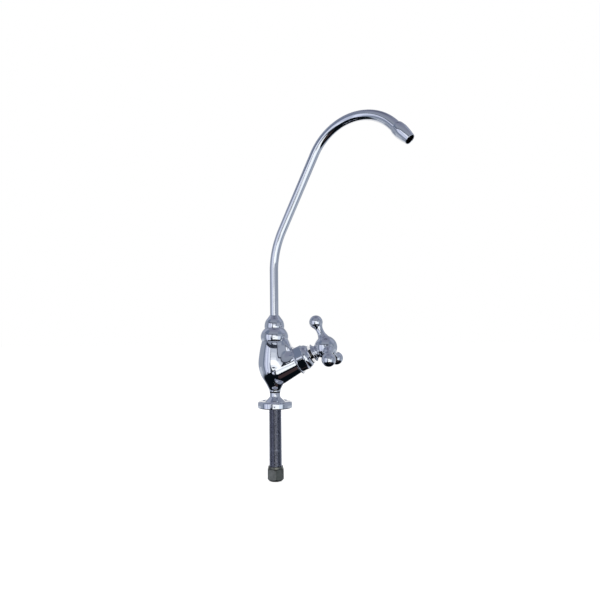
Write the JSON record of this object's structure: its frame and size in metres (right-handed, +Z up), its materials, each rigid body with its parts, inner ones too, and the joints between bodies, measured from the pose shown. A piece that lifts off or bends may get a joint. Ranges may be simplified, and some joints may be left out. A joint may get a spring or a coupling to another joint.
{
  "type": "swan neck tap",
  "caption": "Filtered-water tap with a tall bent spout that turns, a sloping quarter-turn valve with a three-arm knob handle, a small round flange and a threaded shank with a compression nut.",
  "frame": {"origin": "centre of the flange's underside, on the deck", "axes": "+Z up along the tap's axis, +X below the sloping valve branch, the body symmetric about the XZ plane"},
  "size_m": [0.1449, 0.0741, 0.3226],
  "materials": {
    "chrome_plate": "bright chrome plate on brass",
    "zinc_thread": "dull blue-grey zinc plate on a fine thread",
    "raw_nut": "unpolished dark metal",
    "brass": "machined",
    "brass_dark": "machined, dulled",
    "black_rubber": "matt black rubber",
    "ceramic_disc": "lapped",
    "white_nylon": "plain",
    "spring_steel": "plain"
  },
  "bodies": {
    "tap_fixed": {"tap_body": "chrome_plate", "base_flange": "chrome_plate", "base_o_ring": "black_rubber", "threaded_shank": "zinc_thread", "compression_nut": "raw_nut", "ferrule": "brass", "crown_collar": "chrome_plate", "spout_nut": "chrome_plate", "spout_thrust_ring": "white_nylon", "bonnet_nut": "chrome_plate", "cartridge_body": "brass", "cartridge_o_ring": "black_rubber", "fixed_disc": "ceramic_disc", "seat_seal": "black_rubber", "stem_washer": "white_nylon"},
    "swan_neck": {"spout_tube": "chrome_plate", "spout_nozzle": "chrome_plate", "spout_end_bush": "brass", "spout_o_rings": "black_rubber"},
    "handle_and_stem": {"handle": "chrome_plate", "handle_grub_screw": "spring_steel", "stem": "brass_dark", "stem_o_rings": "black_rubber", "stem_clip": "spring_steel", "moving_disc": "ceramic_disc"}
  },
  "joints": [
    {"name": "spout_swivel", "type": "hinge", "parent": "tap_fixed", "child": "swan_neck", "pos_m": [0, 0, 0.07], "axis": [0, 0, 1], "continuous": true},
    {"name": "handle_turn", "type": "hinge", "parent": "tap_fixed", "child": "handle_and_stem", "pos_m": [0.0364, 0, 0.05079], "axis": [0.91, 0, 0.4147], "range_deg": [0, 90]}
  ]
}
